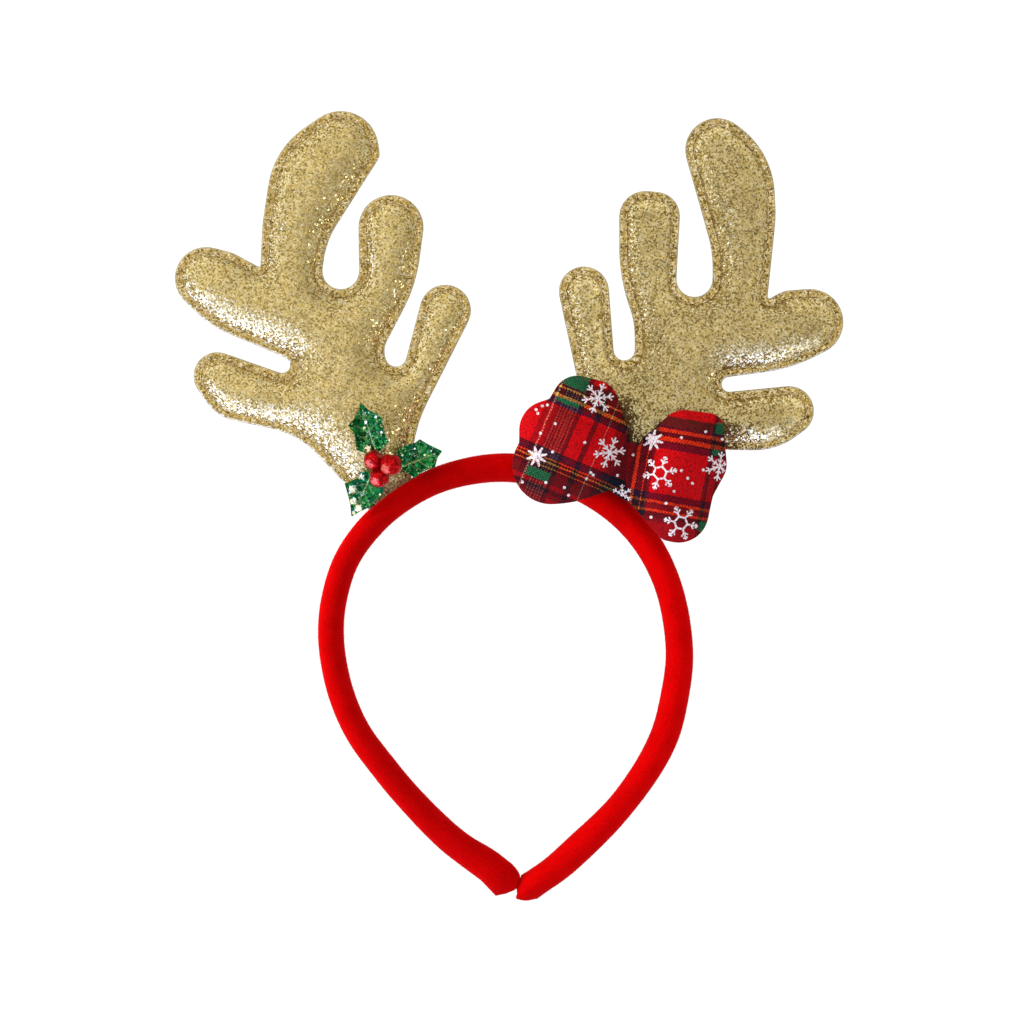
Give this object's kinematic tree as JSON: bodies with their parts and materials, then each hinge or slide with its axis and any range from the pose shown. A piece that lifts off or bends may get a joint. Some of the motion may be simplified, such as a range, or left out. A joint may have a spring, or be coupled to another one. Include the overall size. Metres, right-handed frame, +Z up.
{
  "type": "antler headband",
  "caption": "Festive dress-up headband: a velvet hoop worn over the head, carrying padded glitter antlers, a holly sprig with berries and a padded tartan bow.",
  "frame": {"origin": "on the surface it lies on, below the middle of the whole headband", "axes": "+X across the face to the side with the bow, +Y from the tips of the hoop to the antlers, +Z up from its back to its front"},
  "size_m": [0.2338, 0.275, 0.0282],
  "materials": {
    "velvet": "soft pile",
    "gold_glitter": "fine glitter",
    "tartan": "woven and printed",
    "leaf_glitter": "glitter foil",
    "berry_glitter": "glitter foil"
  },
  "bodies": {
    "root": {"headband": "velvet", "antler_left": "gold_glitter", "antler_right": "gold_glitter", "bow": "tartan", "leaf_upper": "leaf_glitter", "leaf_right": "leaf_glitter", "leaf_lower": "leaf_glitter", "berry_upper": "berry_glitter", "berry_right": "berry_glitter", "berry_lower": "berry_glitter"}
  },
  "joints": []
}
